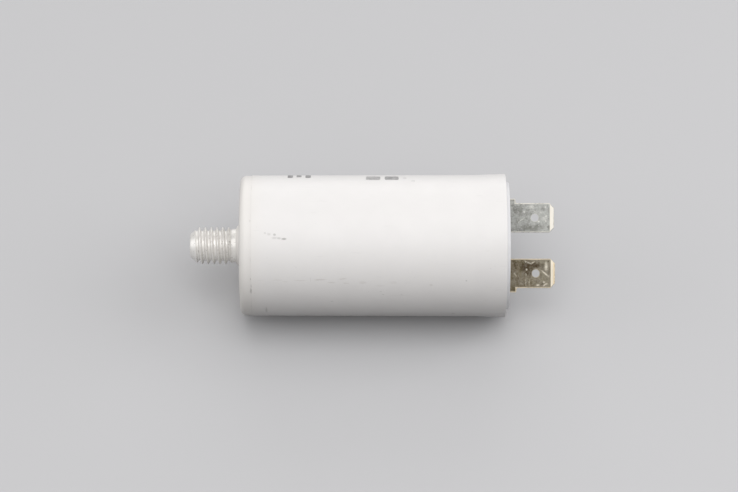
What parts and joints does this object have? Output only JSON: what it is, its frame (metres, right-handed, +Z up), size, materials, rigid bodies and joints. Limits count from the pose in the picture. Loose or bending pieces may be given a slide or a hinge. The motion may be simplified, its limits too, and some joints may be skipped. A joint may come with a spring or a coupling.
{
  "type": "motor-run film capacitor",
  "caption": "Round white plastic-cased film capacitor with a threaded mounting stud in its base and flat push-on tabs in its lid.",
  "frame": {"origin": "on the surface that the capacitor lies on, under the middle of its length from stud tip to tab tip", "axes": "+X along the axis from the stud to the tabs, +Z up; the plane of the two tabs holds the axis and leans back 50 degrees from upright, towards +Y at its top"},
  "size_m": [0.078, 0.0306, 0.0307],
  "materials": {
    "can_plastic": "satin",
    "lid_plastic": "satin",
    "stud_metal": "satin",
    "tab_plating": "dull plated",
    "tab_tarnished": "tarnished plated",
    "core_plastic": "matte",
    "metallised_film": "satin",
    "clear_film": "gloss",
    "sprayed_zinc": "matte",
    "tinned_wire": "satin",
    "sleeve_plastic": "matte",
    "solder": "satin",
    "resin": "satin"
  },
  "bodies": {
    "root": {"can": "can_plastic", "lid": "lid_plastic", "stud": "stud_metal", "terminal_upper": "tab_plating", "terminal_lower": "tab_tarnished", "core_tube": "core_plastic", "winding": "metallised_film", "outer_wrap": "clear_film", "end_contact_base": "sprayed_zinc", "end_contact_lid": "sprayed_zinc", "lead_short": "tinned_wire", "lead_long": "tinned_wire", "lead_sleeve": "sleeve_plastic", "solder_base_end": "solder", "solder_lid_end": "solder", "solder_upper_tab": "solder", "solder_lower_tab": "solder", "potting": "resin"}
  },
  "joints": []
}
